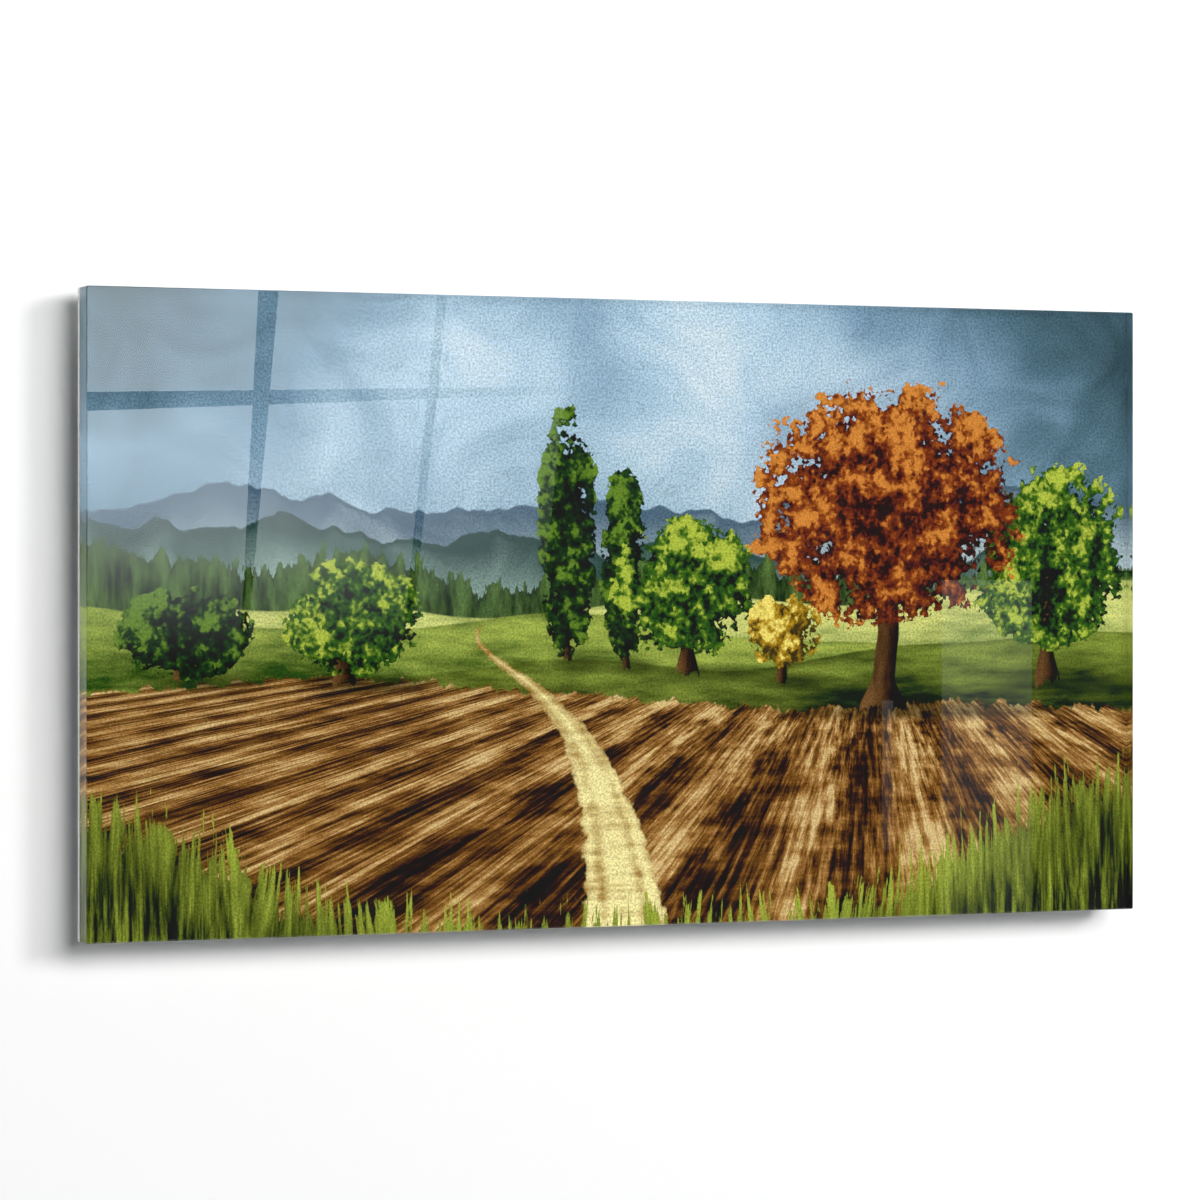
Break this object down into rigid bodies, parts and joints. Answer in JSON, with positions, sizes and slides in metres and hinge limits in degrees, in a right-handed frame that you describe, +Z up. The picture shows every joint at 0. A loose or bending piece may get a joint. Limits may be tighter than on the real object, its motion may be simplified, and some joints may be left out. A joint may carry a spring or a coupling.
{
  "type": "acrylic wall print",
  "caption": "Landscape wall picture printed behind a thick clear acrylic sheet, with a composite backing board and a hidden mitred channel frame that hangs it close to a wall.",
  "frame": {"origin": "middle of the downward bearing face inside the top rail, where wall hooks carry the panel", "axes": "+X to the right and +Z up for someone facing the picture, which looks along -Y; the wall is on the +Y side"},
  "size_m": [0.6, 0.0288, 0.33],
  "materials": {
    "acrylic": "polished",
    "print_film": "satin",
    "board_skin": "satin",
    "board_core": "matte",
    "rail": "satin",
    "tape": "matte",
    "key": "satin",
    "screw": "satin",
    "bumper": "matte"
  },
  "bodies": {
    "root": {"acrylic_sheet": "acrylic", "picture_film": "print_film", "backing_front_skin": "board_skin", "backing_core": "board_core", "backing_rear_skin": "board_skin", "rail_top": "rail", "rail_bottom": "rail", "rail_left": "rail", "rail_right": "rail", "tape_top": "tape", "tape_bottom": "tape", "tape_left": "tape", "tape_right": "tape", "corner_key_top_right": "key", "corner_key_bottom_right": "key", "corner_key_bottom_left": "key", "corner_key_top_left": "key", "key_screw_top_right_1": "screw", "key_screw_top_right_2": "screw", "key_screw_bottom_right_1": "screw", "key_screw_bottom_right_2": "screw", "key_screw_bottom_left_1": "screw", "key_screw_bottom_left_2": "screw", "key_screw_top_left_1": "screw", "key_screw_top_left_2": "screw", "bumper_top_right": "bumper", "bumper_bottom_right": "bumper", "bumper_bottom_left": "bumper", "bumper_top_left": "bumper"}
  },
  "joints": []
}
